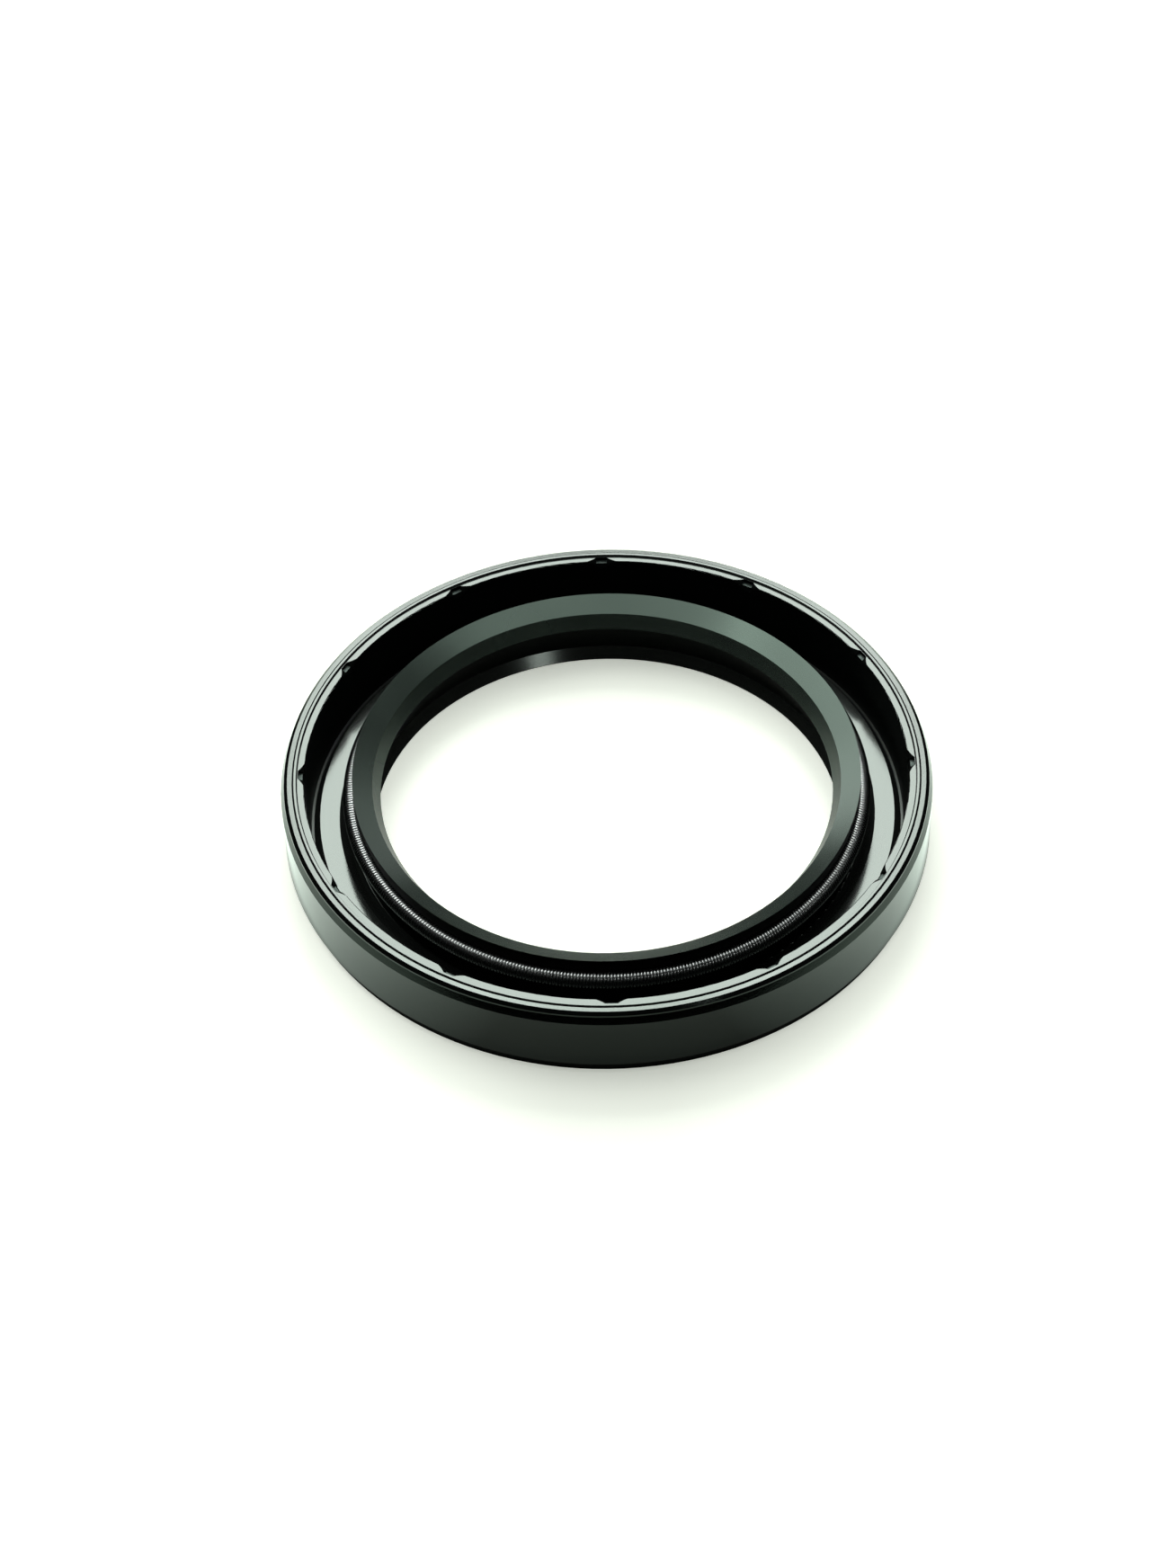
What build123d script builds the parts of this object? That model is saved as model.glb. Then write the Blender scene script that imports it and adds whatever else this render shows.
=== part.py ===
from build123d import *
import math
import os

# Radial shaft seal, rubber covered, with a spring-loaded main lip and a dust lip.
# Z runs along the shaft. The air-side face lies on Z = 0 and the spring side faces up.
# Every section is drawn as (distance from the axis, height, corner rounding), in millimetres.

# What the seal fits
shaft_diameter = 45.0
radial_space = 8.5            # from the shaft's surface to the wall of the housing bore
seal_height = 8.0
press_allowance = 0.15        # the free seal is larger in radius than its bore by this much

# Outside wall, the press-fit cover
back_chamfer_height = 1.2     # at the air side
back_chamfer_depth = 0.45
lead_in_height = 0.69         # taper at the spring side, which enters the housing first
lead_in_depth = 0.31
facet_height = 0.16           # short steep facet above the taper
facet_depth = 0.02
rim_bevel_width = 0.33        # from the facet up to the outer land
rim_bevel_height = 0.26

# Rim: an outer land, a parting groove, a raised strip and an inner land at the cavity
outer_land_drop = 0.12        # all drops are measured down from the strip, the highest ring
outer_land_width = 0.44
parting_groove_width = 0.18
parting_groove_depth = 0.18
strip_width = 0.21
step_width = 0.13
inner_land_drop = 0.23
mouth_rounding = 0.1

# Steel insert, an L-section ring
rubber_cover = 1.08           # rubber outside the leg
steel_thickness = 1.0
bend_radius = 0.5             # inside radius of the bend
steel_rim_drop = 0.63         # from the strip down to the leg's end
flange_cover = 0.5            # rubber under the flange, on the air side
flange_clearance = 2.8        # from the shaft's surface to the flange's bore

# Twelve notches, where the mould's pins held the insert's rim
notch_count = 12
notch_end_width = 1.07
notch_bite = 0.43             # how far over the steel rim a notch reaches
notch_mouth_width = 5.0       # between the outer ends of its two rounded shoulders
notch_shoulder_radius = 3.0
notch_overrun = 0.05          # how far into the cavity the shoulders run on
notch_shoulder_slope = 42.0   # degrees, all round the shoulders
notch_shoulder_depth = 0.55
notch_shoulder_inset = 0.03   # the shoulders stop short of the middle's end
notch_slope = 60.0            # degrees, where the middle runs out into the cavity

# Cavity between the outside wall and the lip
lining_at_rim = 0.18          # rubber inside the steel leg, at its two ends
lining_at_foot = 0.51
recess_cover = 0.3            # rubber over the flange, in the recess at the wall's foot
recess_width = 0.23
recess_slope_width = 0.64
floor_cover = 1.1             # rubber over the flange, at the floor's outer edge
floor_fall = 0.1              # from there to its inner edge
floor_edge_clearance = 3.3    # from the shaft's surface to the floor's inner edge
floor_edge_rounding = 0.12

# Flex groove at the root of the main lip
flex_groove_drop = 0.55       # below the floor's inner edge
flex_groove_slope_width = 0.85
flex_groove_width = 0.65
flex_groove_rounding = 0.35

# Main lip
lip_interference = 0.8        # the free lip is smaller in radius than the shaft
lip_edge_drop = 2.75
oil_cone_width = 0.74         # trimmed cone beside the sealing edge
oil_cone_height = 1.38
head_width = 2.61             # from the sealing edge out to the head's outer corner
head_drop = 0.36
shoulder_width = 2.3          # from the sealing edge out to the shoulder under the spring
shoulder_below_spring = 0.95  # from the spring's centre down to that shoulder

# Garter spring, a close-wound coil joined into a ring
coil_diameter = 1.8
wire_diameter = 0.3
spring_spread = 2.72          # from the sealing edge out to the coil's centre
spring_clearance = 0.02

# Dust lip and the air-side face
valley_clearance = 1.0        # from the shaft's surface to the valley between the lips
valley_height = 1.15
dust_lip_clearance = 0.07
dust_lip_edge_height = 0.25
dust_lip_tip_width = 0.48
dust_lip_tip_lift = 0.05      # the tip stays clear of the plane that the seal lies on
dust_lip_tip_bevel = 0.13
face_groove_width = 1.9       # groove that frees the dust lip, in the air-side face
face_groove_depth = 0.6
face_groove_rounding = 0.3

# Radii and heights that follow from the sizes above
shaft_r = shaft_diameter / 2
outer_r = shaft_r + radial_space + press_allowance
lead_in_r = outer_r - lead_in_depth
facet_r = lead_in_r - facet_depth
land_outer_r = facet_r - rim_bevel_width
groove_outer_r = land_outer_r - outer_land_width
groove_inner_r = groove_outer_r - parting_groove_width
strip_inner_r = groove_inner_r - strip_width
inner_land_r = strip_inner_r - step_width
leg_outer_r = outer_r - rubber_cover
leg_inner_r = leg_outer_r - steel_thickness
mouth_r = leg_inner_r - lining_at_rim
wall_foot_r = leg_inner_r - lining_at_foot
recess_inner_r = wall_foot_r - recess_width
floor_outer_r = recess_inner_r - recess_slope_width
floor_inner_r = shaft_r + floor_edge_clearance
flex_outer_r = floor_inner_r - flex_groove_slope_width
flex_inner_r = flex_outer_r - flex_groove_width
flange_bore_r = shaft_r + flange_clearance
lip_r = shaft_r - lip_interference
oil_cone_r = lip_r + oil_cone_width
head_r = lip_r + head_width
shoulder_r = lip_r + shoulder_width
spring_r = lip_r + spring_spread
valley_r = shaft_r + valley_clearance
dust_lip_r = shaft_r + dust_lip_clearance
dust_tip_outer_r = dust_lip_r + dust_lip_tip_width
notch_end_r = leg_inner_r + notch_bite

outer_land_z = seal_height - outer_land_drop
facet_z = outer_land_z - rim_bevel_height
lead_in_z = facet_z - facet_height
wall_top_z = lead_in_z - lead_in_height
inner_land_z = seal_height - inner_land_drop
steel_rim_z = seal_height - steel_rim_drop
head_z = seal_height - head_drop
lip_edge_z = seal_height - lip_edge_drop
oil_cone_z = lip_edge_z + oil_cone_height
spring_z = lip_edge_z          # the coil stands level with the sealing edge
shoulder_z = spring_z - shoulder_below_spring
flange_top_z = flange_cover + steel_thickness
recess_z = flange_top_z + recess_cover
floor_outer_z = flange_top_z + floor_cover
floor_inner_z = floor_outer_z - floor_fall
flex_groove_z = floor_inner_z - flex_groove_drop


def section(corners):
    """Face in the XZ plane, from corners given as (radius, height, rounding)."""
    points = [(r, z) for r, z, rounding in corners]
    face = make_face(Polyline(*points, close=True))
    for r, z, rounding in corners:
        if rounding > 0:
            corner = face.vertices().sort_by_distance((r, z, 0))[0]
            face = fillet(corner, rounding)
    return Plane.XZ * face


def ring_point(radius, height):
    """Place of a point of the section, in the XZ plane."""
    return Plane.XZ * Pos(radius, height)


def steel_insert():
    """Stamped L-section ring: an outer leg, a bend and a flange towards the shaft."""
    corners = [
        (leg_outer_r, flange_cover, bend_radius + steel_thickness),
        (leg_outer_r, steel_rim_z, 0),
        (leg_inner_r, steel_rim_z, 0),
        (leg_inner_r, flange_top_z, bend_radius),
        (flange_bore_r, flange_top_z, 0),
        (flange_bore_r, flange_cover, 0),
    ]
    return revolve(section(corners), Axis.Z)


def rubber_outline():
    """Section of the moulding as if it were solid, counter-clockwise from the back chamfer."""
    press_wall = [
        (outer_r - back_chamfer_depth, 0, 0),
        (outer_r, back_chamfer_height, 0),
        (outer_r, wall_top_z, 0),
        (lead_in_r, lead_in_z, 0),
        (facet_r, facet_z, 0),
        (land_outer_r, outer_land_z, 0),
    ]
    groove_bottom_r = (groove_outer_r + groove_inner_r) / 2
    rim = [
        (groove_outer_r, outer_land_z, 0),
        (groove_bottom_r, outer_land_z - parting_groove_depth, 0),
        (groove_inner_r, seal_height, 0),
        (strip_inner_r, seal_height, 0),
        (inner_land_r, inner_land_z, 0),
        (mouth_r, inner_land_z, mouth_rounding),
    ]
    cavity = [
        (wall_foot_r, recess_z, 0),
        (recess_inner_r, recess_z, 0),
        (floor_outer_r, floor_outer_z, 0),
        (floor_inner_r, floor_inner_z, floor_edge_rounding),
        (flex_outer_r, flex_groove_z, flex_groove_rounding),
        (flex_inner_r, flex_groove_z, flex_groove_rounding),
    ]
    main_lip = [
        (shoulder_r, shoulder_z, 0),
        (head_r, head_z, 0),
        (oil_cone_r, oil_cone_z, 0),
        (lip_r, lip_edge_z, 0),
    ]
    dust_lip = [
        (valley_r, valley_height, 0),
        (dust_lip_r, dust_lip_edge_height, 0),
        (dust_lip_r + dust_lip_tip_bevel, dust_lip_tip_lift, 0),
        (dust_tip_outer_r, dust_lip_tip_lift, 0),
        (dust_tip_outer_r + face_groove_width / 2, face_groove_depth, face_groove_rounding),
        (dust_tip_outer_r + face_groove_width, 0, 0),
    ]
    return section(press_wall + rim + cavity + main_lip + dust_lip)


def spring_groove():
    """Round seat that the coil snaps into, as a section."""
    return ring_point(spring_r, spring_z) * Circle(coil_diameter / 2 + spring_clearance)


def notch_shoulders():
    """Sloping cut that takes the inner land's corner away on both sides of a notch."""
    half_end = notch_end_width / 2
    half_mouth = notch_mouth_width / 2
    mouth_x = math.sqrt((mouth_r - notch_overrun) ** 2 - half_mouth**2)
    end_x = notch_end_r - notch_shoulder_inset
    end = Line((end_x, -half_end), (end_x, half_end))
    left = RadiusArc(end @ 1, (mouth_x, half_mouth), notch_shoulder_radius)
    right = RadiusArc((mouth_x, -half_mouth), end @ 0, notch_shoulder_radius)
    clear_x = mouth_x - notch_shoulder_depth
    opening = Polyline(left @ 1, (clear_x, half_mouth), (clear_x, -half_mouth), right @ 0)
    plan = Pos(0, 0, inner_land_z) * make_face([end, left, opening, right])
    return extrude(plan, -notch_shoulder_depth, taper=90 - notch_shoulder_slope)


def notches():
    """The twelve cuts through the inner land, down to the steel rim."""
    run_out = (leg_inner_r - wall_foot_r) * math.tan(math.radians(notch_slope))
    above_rim = [
        (leg_inner_r, steel_rim_z, 0),
        (notch_end_r, steel_rim_z, 0),
        (notch_end_r, seal_height, 0),
        (wall_foot_r, seal_height, 0),
        (wall_foot_r, steel_rim_z - run_out, 0),
    ]
    slot = Pos(notch_end_r, 0, 0) * Box(2, notch_end_width, 2 * seal_height)
    middle = slot & revolve(section(above_rim), Axis.Z)
    cut = middle + notch_shoulders()
    first = -90
    return [Rot(Z=first + i * 360 / notch_count) * cut for i in range(notch_count)]


def rubber_body(insert):
    """The moulding: its section turned about the axis, notched, and moulded round the insert."""
    moulding = revolve(rubber_outline() - spring_groove(), Axis.Z)
    return moulding - notches() - insert


def garter_spring():
    """The coil as a tube of its outer and inner diameter, closed into a ring."""
    centre = ring_point(spring_r, spring_z)
    coil = Circle(coil_diameter / 2) - Circle(coil_diameter / 2 - wire_diameter)
    return revolve(centre * coil, Axis.Z)


def write(part, node):
    part.label = node
    export_step(part, f"parts/{node}.step")


os.makedirs("parts", exist_ok=True)
insert_ring = steel_insert()
write(rubber_body(insert_ring), "rubber_body")
write(insert_ring, "steel_insert")
write(garter_spring(), "garter_spring")
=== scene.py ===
"""Looks of the radial shaft seal.

Finishes for the rubber and the steel insert, the garter spring's real coil, a pale floor and soft studio
light, and the photograph's camera.
"""

import math

import bpy
from mathutils import Matrix, Vector

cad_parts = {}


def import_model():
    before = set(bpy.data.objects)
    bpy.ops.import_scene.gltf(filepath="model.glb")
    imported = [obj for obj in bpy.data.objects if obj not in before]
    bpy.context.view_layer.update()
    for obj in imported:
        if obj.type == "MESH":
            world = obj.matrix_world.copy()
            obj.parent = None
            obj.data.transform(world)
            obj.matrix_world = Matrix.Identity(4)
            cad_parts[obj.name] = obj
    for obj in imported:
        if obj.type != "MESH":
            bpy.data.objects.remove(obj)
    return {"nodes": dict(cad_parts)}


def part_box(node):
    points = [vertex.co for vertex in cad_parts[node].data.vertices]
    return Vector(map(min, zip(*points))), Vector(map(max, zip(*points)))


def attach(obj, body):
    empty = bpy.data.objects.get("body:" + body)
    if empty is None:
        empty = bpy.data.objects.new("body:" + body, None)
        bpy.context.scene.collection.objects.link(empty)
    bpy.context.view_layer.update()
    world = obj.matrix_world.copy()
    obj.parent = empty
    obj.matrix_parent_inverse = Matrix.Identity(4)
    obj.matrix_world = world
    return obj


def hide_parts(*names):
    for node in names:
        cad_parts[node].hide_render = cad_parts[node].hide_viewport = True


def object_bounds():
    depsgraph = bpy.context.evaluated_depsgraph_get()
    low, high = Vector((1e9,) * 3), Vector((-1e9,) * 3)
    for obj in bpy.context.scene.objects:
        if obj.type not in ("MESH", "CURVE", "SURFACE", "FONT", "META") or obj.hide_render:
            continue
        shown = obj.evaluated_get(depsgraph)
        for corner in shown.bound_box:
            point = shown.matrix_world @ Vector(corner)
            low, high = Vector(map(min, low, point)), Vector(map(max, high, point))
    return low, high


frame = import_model()
cad_low, cad_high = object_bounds()

MM = 0.001

# Camera: the photograph's frame in pixels, and how the camera stands
FRAME_LONG_SIDE = 1744
FRAME_CENTRE = (654, 872)
SENSOR = 36.0                       # mm, on the frame's long side
FOCAL_PX = 4052.4
CAMERA_DISTANCE = 0.34795           # m, to the centre of the rim's top plane
CAMERA_ELEVATION = math.radians(46.105)
CAMERA_ROLL = math.radians(-1.316)
RIM_CENTRE_PX = (674.11, 851.93)    # where the rim's centre shows in the frame
CLIP = (0.01, 20)                   # m, nearest and farthest that the camera sees

# Garter spring
WIRE_D = 0.30 * MM
COIL_TURNS = 508
STEPS_PER_TURN = 20
WIRE_SIDES = 8

# Edges of the CAD nodes
WELD_DISTANCE = 0.000001            # m
EDGE_WIDTH = 0.03 * MM
EDGE_ANGLE = math.radians(14)       # sharper edges than this are rounded
SPLIT_ANGLE = math.radians(9)       # and shading breaks at edges sharper than this
EVEN_WEIGHT = 50

# Rubber: the share of red, green and blue that it reflects
MOULDED_TINT = (0.86, 1.0, 0.90)
PRESSED_TINT = (0.80, 1.0, 0.87)
TRIMMED_TINT = (0.73, 1.0, 0.83)
RUBBER_IOR = 1.5
MOTTLING_SCALE = 350                # cycles per metre, of the slow change of colour
GLOSS_SCALE = 120                   # and of gloss
MOTTLING = (0.9, 1.1)               # how far both go below and above their middle

# Rubber finishes: tint, albedo, roughness, specular level, and the grain: its scale in cycles per metre and
# its depth in metres
RUBBERS = {
    "rubber_moulded": (MOULDED_TINT, 0.014, 0.14, 0.8, 6000, 0.000003),
    "rubber_press_wall": (PRESSED_TINT, 0.002, 0.08, 0.30, 6000, 0.000003),
    "rubber_trimmed": (TRIMMED_TINT, 0.022, 0.25, 1.0, 2500, 0.0000015),
    # The next finish is painted shade: a very dark colour and almost no reflection, for recesses and
    # undersides where shade falls.
    "rubber_dull": (PRESSED_TINT, 0.003, 0.45, 0.02, 6000, 0.000003),
    "rubber_ledge": (MOULDED_TINT, 0.014, 0.35, 1.0, 6000, 0.000003),
    "rubber_outer_land": (MOULDED_TINT, 0.014, 0.14, 0.8, 6000, 0.000003),
}
# Finishes whose shading leans outward, and how much they seem to fall per metre of radius
LEANS = {"rubber_outer_land": 0.045}

# Which faces of the moulding have which finish. A face takes the first row that holds it: the finish, radii
# in mm, heights in mm, and how far its normal points outward and upward. The other faces are plain moulded.
ALL = (-100, 100)
ZONES = (
    # The rows of the dull finish paint shade on the back chamfer, the air-side cone and valley, the spring
    # seat, the head's outer wall, the cavity's wall and the notches.
    ("rubber_dull", (30.5, 100), ALL, ALL, (-2, -0.1)),         # back chamfer
    ("rubber_press_wall", (30.5, 100), ALL, ALL, ALL),          # outside wall, taper and bevel
    ("rubber_outer_land", (30.04, 100), ALL, ALL, (0.95, 2)),
    ("rubber_trimmed", (0, 22.5), (5.2, 100), ALL, ALL),        # cone beside the sealing edge
    ("rubber_trimmed", (0, 24.4), (6.6, 100), ALL, (0.5, 2)),   # top cone
    ("rubber_moulded", (0, 24.1), (-1, 1.2), ALL, (0.3, 2)),    # dust lip's upper side
    ("rubber_dull", (0, 24.1), (-1, 5.2), ALL, ALL),            # air-side cone, valley and spring seat
    ("rubber_dull", (0, 24.5), ALL, (0.3, 2), ALL),             # head's outer wall
    ("rubber_ledge", (27.9, 28.7), (-1, 2.0), ALL, (0.9, 2)),   # recess at the wall's foot
    ("rubber_dull", (28.4, 29.0), (1.9, 100), (-2, -0.6), ALL),     # cavity's wall
    ("rubber_dull", (29.0, 29.51), (-1, 7.76), ALL, (-2, 0.95)),    # slopes and walls of the notches
)

# Steels: dark and light colour and their scale, the range of roughness and its scale, and the grain's scale
# and depth; scales in cycles per metre, depth in metres
STEELS = {
    "spring_steel_wire": (
        (0.41, 0.43, 0.42), (0.58, 0.62, 0.60), 4000, (0.18, 0.27), 9000, 20000, 0.000004
    ),
    "insert_steel_sheet": (
        (0.036, 0.046, 0.041), (0.070, 0.090, 0.080), 2500, (0.4, 0.6), 5000, 9000, 0.000006
    ),
}

# The part of a noise's range that is used
NOISE_LOW = 0.3
NOISE_HIGH = 0.7

# Floor and room
FLOOR_HALF = 3.0                    # m
PAPER_ALBEDO = 0.82
PAPER_TINT = (0.95, 1.0, 0.90)
FLOOR_GLOW = (0.46, 0.60)           # light that the floor sends to the camera by itself
GLOW_RISES = (5 * MM, 25 * MM)      # it rises to both sides, from here to here
MIRRORED_GLOW = (0.1, 1.4)          # the same in reflections, clear of the seal
MIRRORED_RISES = (13 * MM, 33 * MM)
MIRRORED_TINT = (0.83, 1.0, 0.88)
MIRRORED_FROM = (31.15 * MM, 32.0 * MM)     # it starts between these radii
MIRRORED_TO = (40 * MM, 110 * MM)           # and between these the floor fades out of reflections
ROOM_SEEN = 1.0                     # the room's light to the camera
ROOM_DIM = 0.03                     # and to everything else

# Softboxes: azimuth, elevation, width, height and turn in degrees, and radiance
LAMP_DISTANCE = 0.6
SOFTBOXES = {
    "back": (90, 48, 26, 23, 0, 8.3),
    "left": (137, 41.5, 67, 16, 57, 3.0),
    "top": (90, 78, 56, 48, 0, 1.8),
    "front": (301, 44, 7, 7, 0, 7.0),
    "right": (57, 18, 30, 20, 0, 0.7),
}


def add_object(name, data):
    obj = bpy.data.objects.new(name, data)
    bpy.context.scene.collection.objects.link(obj)
    return obj


def empty_nodes(owner):
    """The emptied nodes of a material or world, and the function that links them."""
    owner.use_nodes = True
    owner.node_tree.nodes.clear()
    return owner.node_tree.nodes, owner.node_tree.links.new


def new_material(name):
    """A node material with a Principled shader, and that shader."""
    material = bpy.data.materials.new(name)
    nodes, link = empty_nodes(material)
    output = nodes.new("ShaderNodeOutputMaterial")
    shader = nodes.new("ShaderNodeBsdfPrincipled")
    link(shader.outputs["BSDF"], output.inputs["Surface"])
    return material, shader


def noise(material, scale, detail=4.0, roughness=0.55):
    """Noise fixed to the object, with its scale in cycles per metre."""
    nodes = material.node_tree.nodes
    place = nodes.new("ShaderNodeTexCoord")
    texture = nodes.new("ShaderNodeTexNoise")
    texture.inputs["Scale"].default_value = scale
    texture.inputs["Detail"].default_value = detail
    texture.inputs["Roughness"].default_value = roughness
    material.node_tree.links.new(place.outputs["Object"], texture.inputs["Vector"])
    return texture.outputs["Fac"]


def ranged(owner, value, low, high, from_low=NOISE_LOW, from_high=NOISE_HIGH):
    """A value mapped from one range to another, and held at its ends."""
    node = owner.node_tree.nodes.new("ShaderNodeMapRange")
    node.inputs["From Min"].default_value = from_low
    node.inputs["From Max"].default_value = from_high
    node.inputs["To Min"].default_value = low
    node.inputs["To Max"].default_value = high
    owner.node_tree.links.new(value, node.inputs["Value"])
    return node.outputs["Result"]


def combine(material, operation, *values):
    """A Math node on sockets and numbers."""
    node = material.node_tree.nodes.new("ShaderNodeMath")
    node.operation = operation
    for socket, value in zip(node.inputs, values):
        if isinstance(value, (int, float)):
            socket.default_value = value
        else:
            material.node_tree.links.new(value, socket)
    return node.outputs[0]


def between(material, value, dark, light):
    """A colour ramp from dark to light by a noise value."""
    ramp = material.node_tree.nodes.new("ShaderNodeValToRGB")
    ramp.color_ramp.elements[0].position = NOISE_LOW
    ramp.color_ramp.elements[0].color = (*dark, 1)
    ramp.color_ramp.elements[1].position = NOISE_HIGH
    ramp.color_ramp.elements[1].color = (*light, 1)
    material.node_tree.links.new(value, ramp.inputs["Fac"])
    return ramp.outputs["Color"]


def radius(material):
    """Distance from the object's origin, in metres."""
    nodes = material.node_tree.nodes
    place = nodes.new("ShaderNodeTexCoord")
    away = nodes.new("ShaderNodeVectorMath")
    away.operation = "LENGTH"
    material.node_tree.links.new(place.outputs["Object"], away.inputs[0])
    return away.outputs["Value"]


def bump(material, target, height, distance):
    """Shading relief for a shader, or for another relief that lies on top of it."""
    node = material.node_tree.nodes.new("ShaderNodeBump")
    node.inputs["Distance"].default_value = distance
    material.node_tree.links.new(height, node.inputs["Height"])
    material.node_tree.links.new(node.outputs["Normal"], target.inputs["Normal"])
    return node


def rubber(name, tint, albedo, roughness, specular, grain, grain_depth):
    """Black nitrile rubber: a slow mottling of colour and gloss, and a fine grain."""
    material, shader = new_material(name)
    link = material.node_tree.links.new
    dark, light = ([share * albedo * colour for colour in tint] for share in MOTTLING)
    mottling = noise(material, MOTTLING_SCALE)
    link(between(material, mottling, dark, light), shader.inputs["Base Color"])
    least, most = (share * roughness for share in MOTTLING)
    gloss = ranged(material, noise(material, GLOSS_SCALE, detail=0.0), least, most)
    link(gloss, shader.inputs["Roughness"])
    shader.inputs["IOR"].default_value = RUBBER_IOR
    shader.inputs["Specular IOR Level"].default_value = specular
    shader.inputs["Specular Tint"].default_value = (*tint, 1)
    relief = bump(material, shader, noise(material, grain, detail=3.0), grain_depth)
    if name in LEANS:
        bump(material, relief, combine(material, "MULTIPLY", radius(material), -1.0), LEANS[name])
    return material


def steel(name):
    """Steel with a fine mottling of colour and gloss, and a fine grain."""
    dark, light, mottling, roughness, gloss, grain, grain_depth = STEELS[name]
    material, shader = new_material(name)
    link = material.node_tree.links.new
    link(between(material, noise(material, mottling), dark, light), shader.inputs["Base Color"])
    shader.inputs["Metallic"].default_value = 1.0
    link(ranged(material, noise(material, gloss), *roughness), shader.inputs["Roughness"])
    bump(material, shader, noise(material, grain), grain_depth)
    return material


def rubber_zone(polygon):
    """The number of the finish that a face of the moulding has, by the table of zones."""
    centre, normal = polygon.center, polygon.normal
    r = math.hypot(centre.x, centre.y)
    outward = (centre.x * normal.x + centre.y * normal.y) / r
    measures = (r / MM, centre.z / MM, outward, normal.z)
    for finish, *limits in ZONES:
        if all(low < measure < high for measure, (low, high) in zip(measures, limits)):
            return list(RUBBERS).index(finish)
    return 0


def finish_node(name, materials, zone=None):
    """A CAD node keeps its mesh, and gets its materials and softly rounded edges."""
    obj = frame["nodes"][name]
    obj.data.materials.clear()
    for material in materials:
        obj.data.materials.append(material)
    for polygon in obj.data.polygons:
        polygon.use_smooth = True
        if zone:
            polygon.material_index = zone(polygon)
    weld = obj.modifiers.new("weld", "WELD")
    weld.merge_threshold = WELD_DISTANCE
    bevel = obj.modifiers.new("edges", "BEVEL")
    bevel.width = EDGE_WIDTH
    bevel.segments = 1
    bevel.limit_method = "ANGLE"
    bevel.angle_limit = EDGE_ANGLE
    bevel.use_clamp_overlap = True
    crisp = obj.modifiers.new("crisp shading", "EDGE_SPLIT")
    crisp.split_angle = SPLIT_ANGLE
    crisp.use_edge_sharp = False
    even = obj.modifiers.new("even shading", "WEIGHTED_NORMAL")
    even.mode = "FACE_AREA"
    even.weight = EVEN_WEIGHT


def garter_spring():
    """The close-wound coil, wound round the ring that the CAD node fills."""
    low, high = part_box("garter_spring")
    coil_r = (high.z - low.z) / 2
    ring_r = high.x - coil_r
    ring_z = (high.z + low.z) / 2
    wind_r = coil_r - WIRE_D / 2
    steps = COIL_TURNS * STEPS_PER_TURN
    vertices, faces = [], []
    for i in range(steps):
        around = 2 * math.pi * i / steps
        turn = 2 * math.pi * i / STEPS_PER_TURN
        outward = Vector((math.cos(around), math.sin(around), 0))
        forward = Vector((-math.sin(around), math.cos(around), 0))
        out_of_coil = outward * math.cos(turn) + Vector((0, 0, math.sin(turn)))
        centre = outward * ring_r + Vector((0, 0, ring_z)) + out_of_coil * wind_r
        for k in range(WIRE_SIDES):
            side = 2 * math.pi * k / WIRE_SIDES
            offset = out_of_coil * math.cos(side) + forward * math.sin(side)
            vertices.append(centre + offset * (WIRE_D / 2))
    for i in range(steps):
        here, there = i * WIRE_SIDES, (i + 1) % steps * WIRE_SIDES
        for k in range(WIRE_SIDES):
            after = (k + 1) % WIRE_SIDES
            faces.append((here + k, here + after, there + after, there + k))
    mesh = bpy.data.meshes.new("garter_coil")
    mesh.from_pydata(vertices, [], faces)
    mesh.polygons.foreach_set("use_smooth", [True] * len(mesh.polygons))
    mesh.materials.append(steel("spring_steel_wire"))
    coil = add_object("garter_coil", mesh)
    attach(coil, "root")
    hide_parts("garter_spring")


def floor_paper():
    """Pale paper that glows a little, more to both sides, and fades out of far reflections."""
    material = bpy.data.materials.new("floor_paper")
    nodes, link = empty_nodes(material)
    output = nodes.new("ShaderNodeOutputMaterial")
    paper = nodes.new("ShaderNodeBsdfDiffuse")
    paper.inputs["Color"].default_value = (*(PAPER_ALBEDO * share for share in PAPER_TINT), 1)
    path = nodes.new("ShaderNodeLightPath")
    place = nodes.new("ShaderNodeTexCoord")
    parts = nodes.new("ShaderNodeSeparateXYZ")
    link(place.outputs["Object"], parts.inputs[0])
    sideways = combine(material, "ABSOLUTE", parts.outputs["X"])
    distance = radius(material)
    glossy, transmitted = path.outputs["Is Glossy Ray"], path.outputs["Is Transmission Ray"]
    reflects = combine(material, "MAXIMUM", glossy, transmitted)

    seen = ranged(material, sideways, *FLOOR_GLOW, *GLOW_RISES)
    seen = combine(material, "MULTIPLY", seen, path.outputs["Is Camera Ray"])
    mirrored = ranged(material, sideways, *MIRRORED_GLOW, *MIRRORED_RISES)
    starts = ranged(material, distance, 0, 1, *MIRRORED_FROM)
    mirrored = combine(material, "MULTIPLY", combine(material, "MULTIPLY", mirrored, starts), reflects)
    surface = paper.outputs[0]
    for tint, strength in ((PAPER_TINT, seen), (MIRRORED_TINT, mirrored)):
        glow = nodes.new("ShaderNodeEmission")
        glow.inputs["Color"].default_value = (*tint, 1)
        link(strength, glow.inputs["Strength"])
        total = nodes.new("ShaderNodeAddShader")
        link(surface, total.inputs[0])
        link(glow.outputs[0], total.inputs[1])
        surface = total.outputs[0]

    fades = ranged(material, distance, 0, 1, *MIRRORED_TO)
    faded = nodes.new("ShaderNodeMixShader")
    link(combine(material, "MULTIPLY", fades, reflects), faded.inputs["Fac"])
    link(surface, faded.inputs[1])
    link(faded.outputs[0], output.inputs["Surface"])
    return material


def floor():
    half = FLOOR_HALF
    corners = [(-half, -half, 0), (half, -half, 0), (half, half, 0), (-half, half, 0)]
    mesh = bpy.data.meshes.new("floor")
    mesh.from_pydata(corners, [], [(0, 1, 2, 3)])
    mesh.materials.append(floor_paper())
    add_object("floor", mesh)


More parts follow.
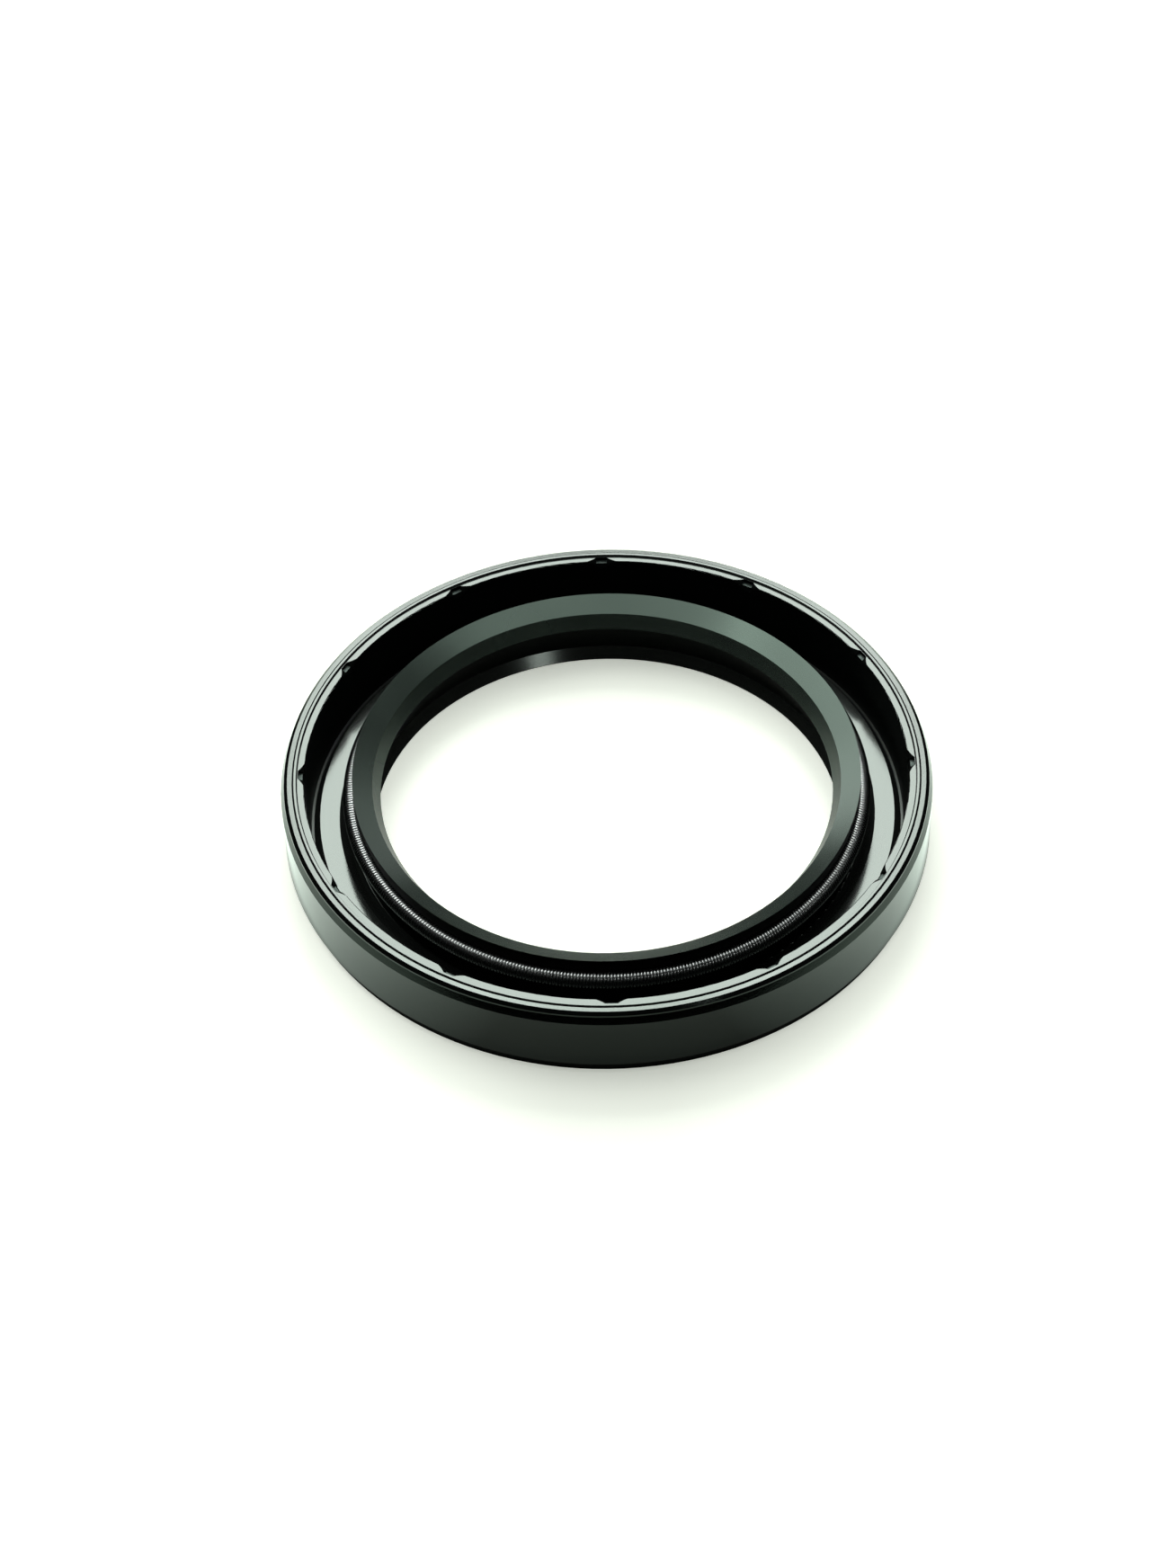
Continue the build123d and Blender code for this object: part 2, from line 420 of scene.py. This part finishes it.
def world():
    """White where the camera sees it, and a dim room for the light."""
    room = bpy.data.worlds.new("room")
    nodes, link = empty_nodes(room)
    output = nodes.new("ShaderNodeOutputWorld")
    background = nodes.new("ShaderNodeBackground")
    path = nodes.new("ShaderNodeLightPath")
    strength = ranged(room, path.outputs["Is Camera Ray"], ROOM_DIM, ROOM_SEEN, 0, 1)
    link(strength, background.inputs["Strength"])
    link(background.outputs[0], output.inputs["Surface"])
    bpy.context.scene.world = room


def softbox(name, azimuth, elevation, width, height, turn, radiance):
    """A softbox that faces the seal; its sizes are the angles that it fills."""
    data = bpy.data.lights.new(name, "AREA")
    data.shape = "RECTANGLE"
    data.size = 2 * LAMP_DISTANCE * math.tan(math.radians(width / 2))
    data.size_y = 2 * LAMP_DISTANCE * math.tan(math.radians(height / 2))
    data.energy = radiance * math.pi * data.size * data.size_y
    around, above = math.radians(azimuth), math.radians(elevation)
    flat = math.cos(above)
    towards = Vector((flat * math.cos(around), flat * math.sin(around), math.sin(above)))
    aim = towards.to_track_quat("Z", "Y").to_matrix().to_4x4()
    turned = Matrix.Rotation(math.radians(turn), 4, "Z")
    lamp = add_object(name, data)
    lamp.matrix_world = Matrix.Translation(towards * LAMP_DISTANCE) @ aim @ turned


def camera():
    """The photograph's viewing angle: aimed at the rim, then turned so that it sits off centre."""
    data = bpy.data.cameras.new("camera")
    data.sensor_width = SENSOR
    data.lens = SENSOR * FOCAL_PX / FRAME_LONG_SIDE
    data.clip_start, data.clip_end = CLIP
    aside = RIM_CENTRE_PX[0] - FRAME_CENTRE[0]
    below = RIM_CENTRE_PX[1] - FRAME_CENTRE[1]
    pan = math.atan2(aside, FOCAL_PX)
    tilt = math.atan2(below, math.hypot(FOCAL_PX, aside))
    away = Vector((0, -math.cos(CAMERA_ELEVATION), math.sin(CAMERA_ELEVATION)))
    target = Vector((0, 0, cad_high.z))
    place = Matrix.Translation(target + away * CAMERA_DISTANCE)
    aim = Matrix.Rotation(math.pi / 2 - CAMERA_ELEVATION, 4, "X") @ Matrix.Rotation(CAMERA_ROLL, 4, "Z")
    offset = Matrix.Rotation(tilt, 4, "X") @ Matrix.Rotation(pan, 4, "Y")
    eye = add_object("camera", data)
    eye.matrix_world = place @ aim @ offset
    bpy.context.scene.camera = eye


rubbers = [rubber(name, *settings) for name, settings in RUBBERS.items()]
finish_node("rubber_body", rubbers, rubber_zone)
finish_node("steel_insert", [steel("insert_steel_sheet")])
garter_spring()
floor()
for box_name, box_settings in SOFTBOXES.items():
    softbox(box_name, *box_settings)
world()
camera()
bpy.context.scene.view_settings.view_transform = "Standard"
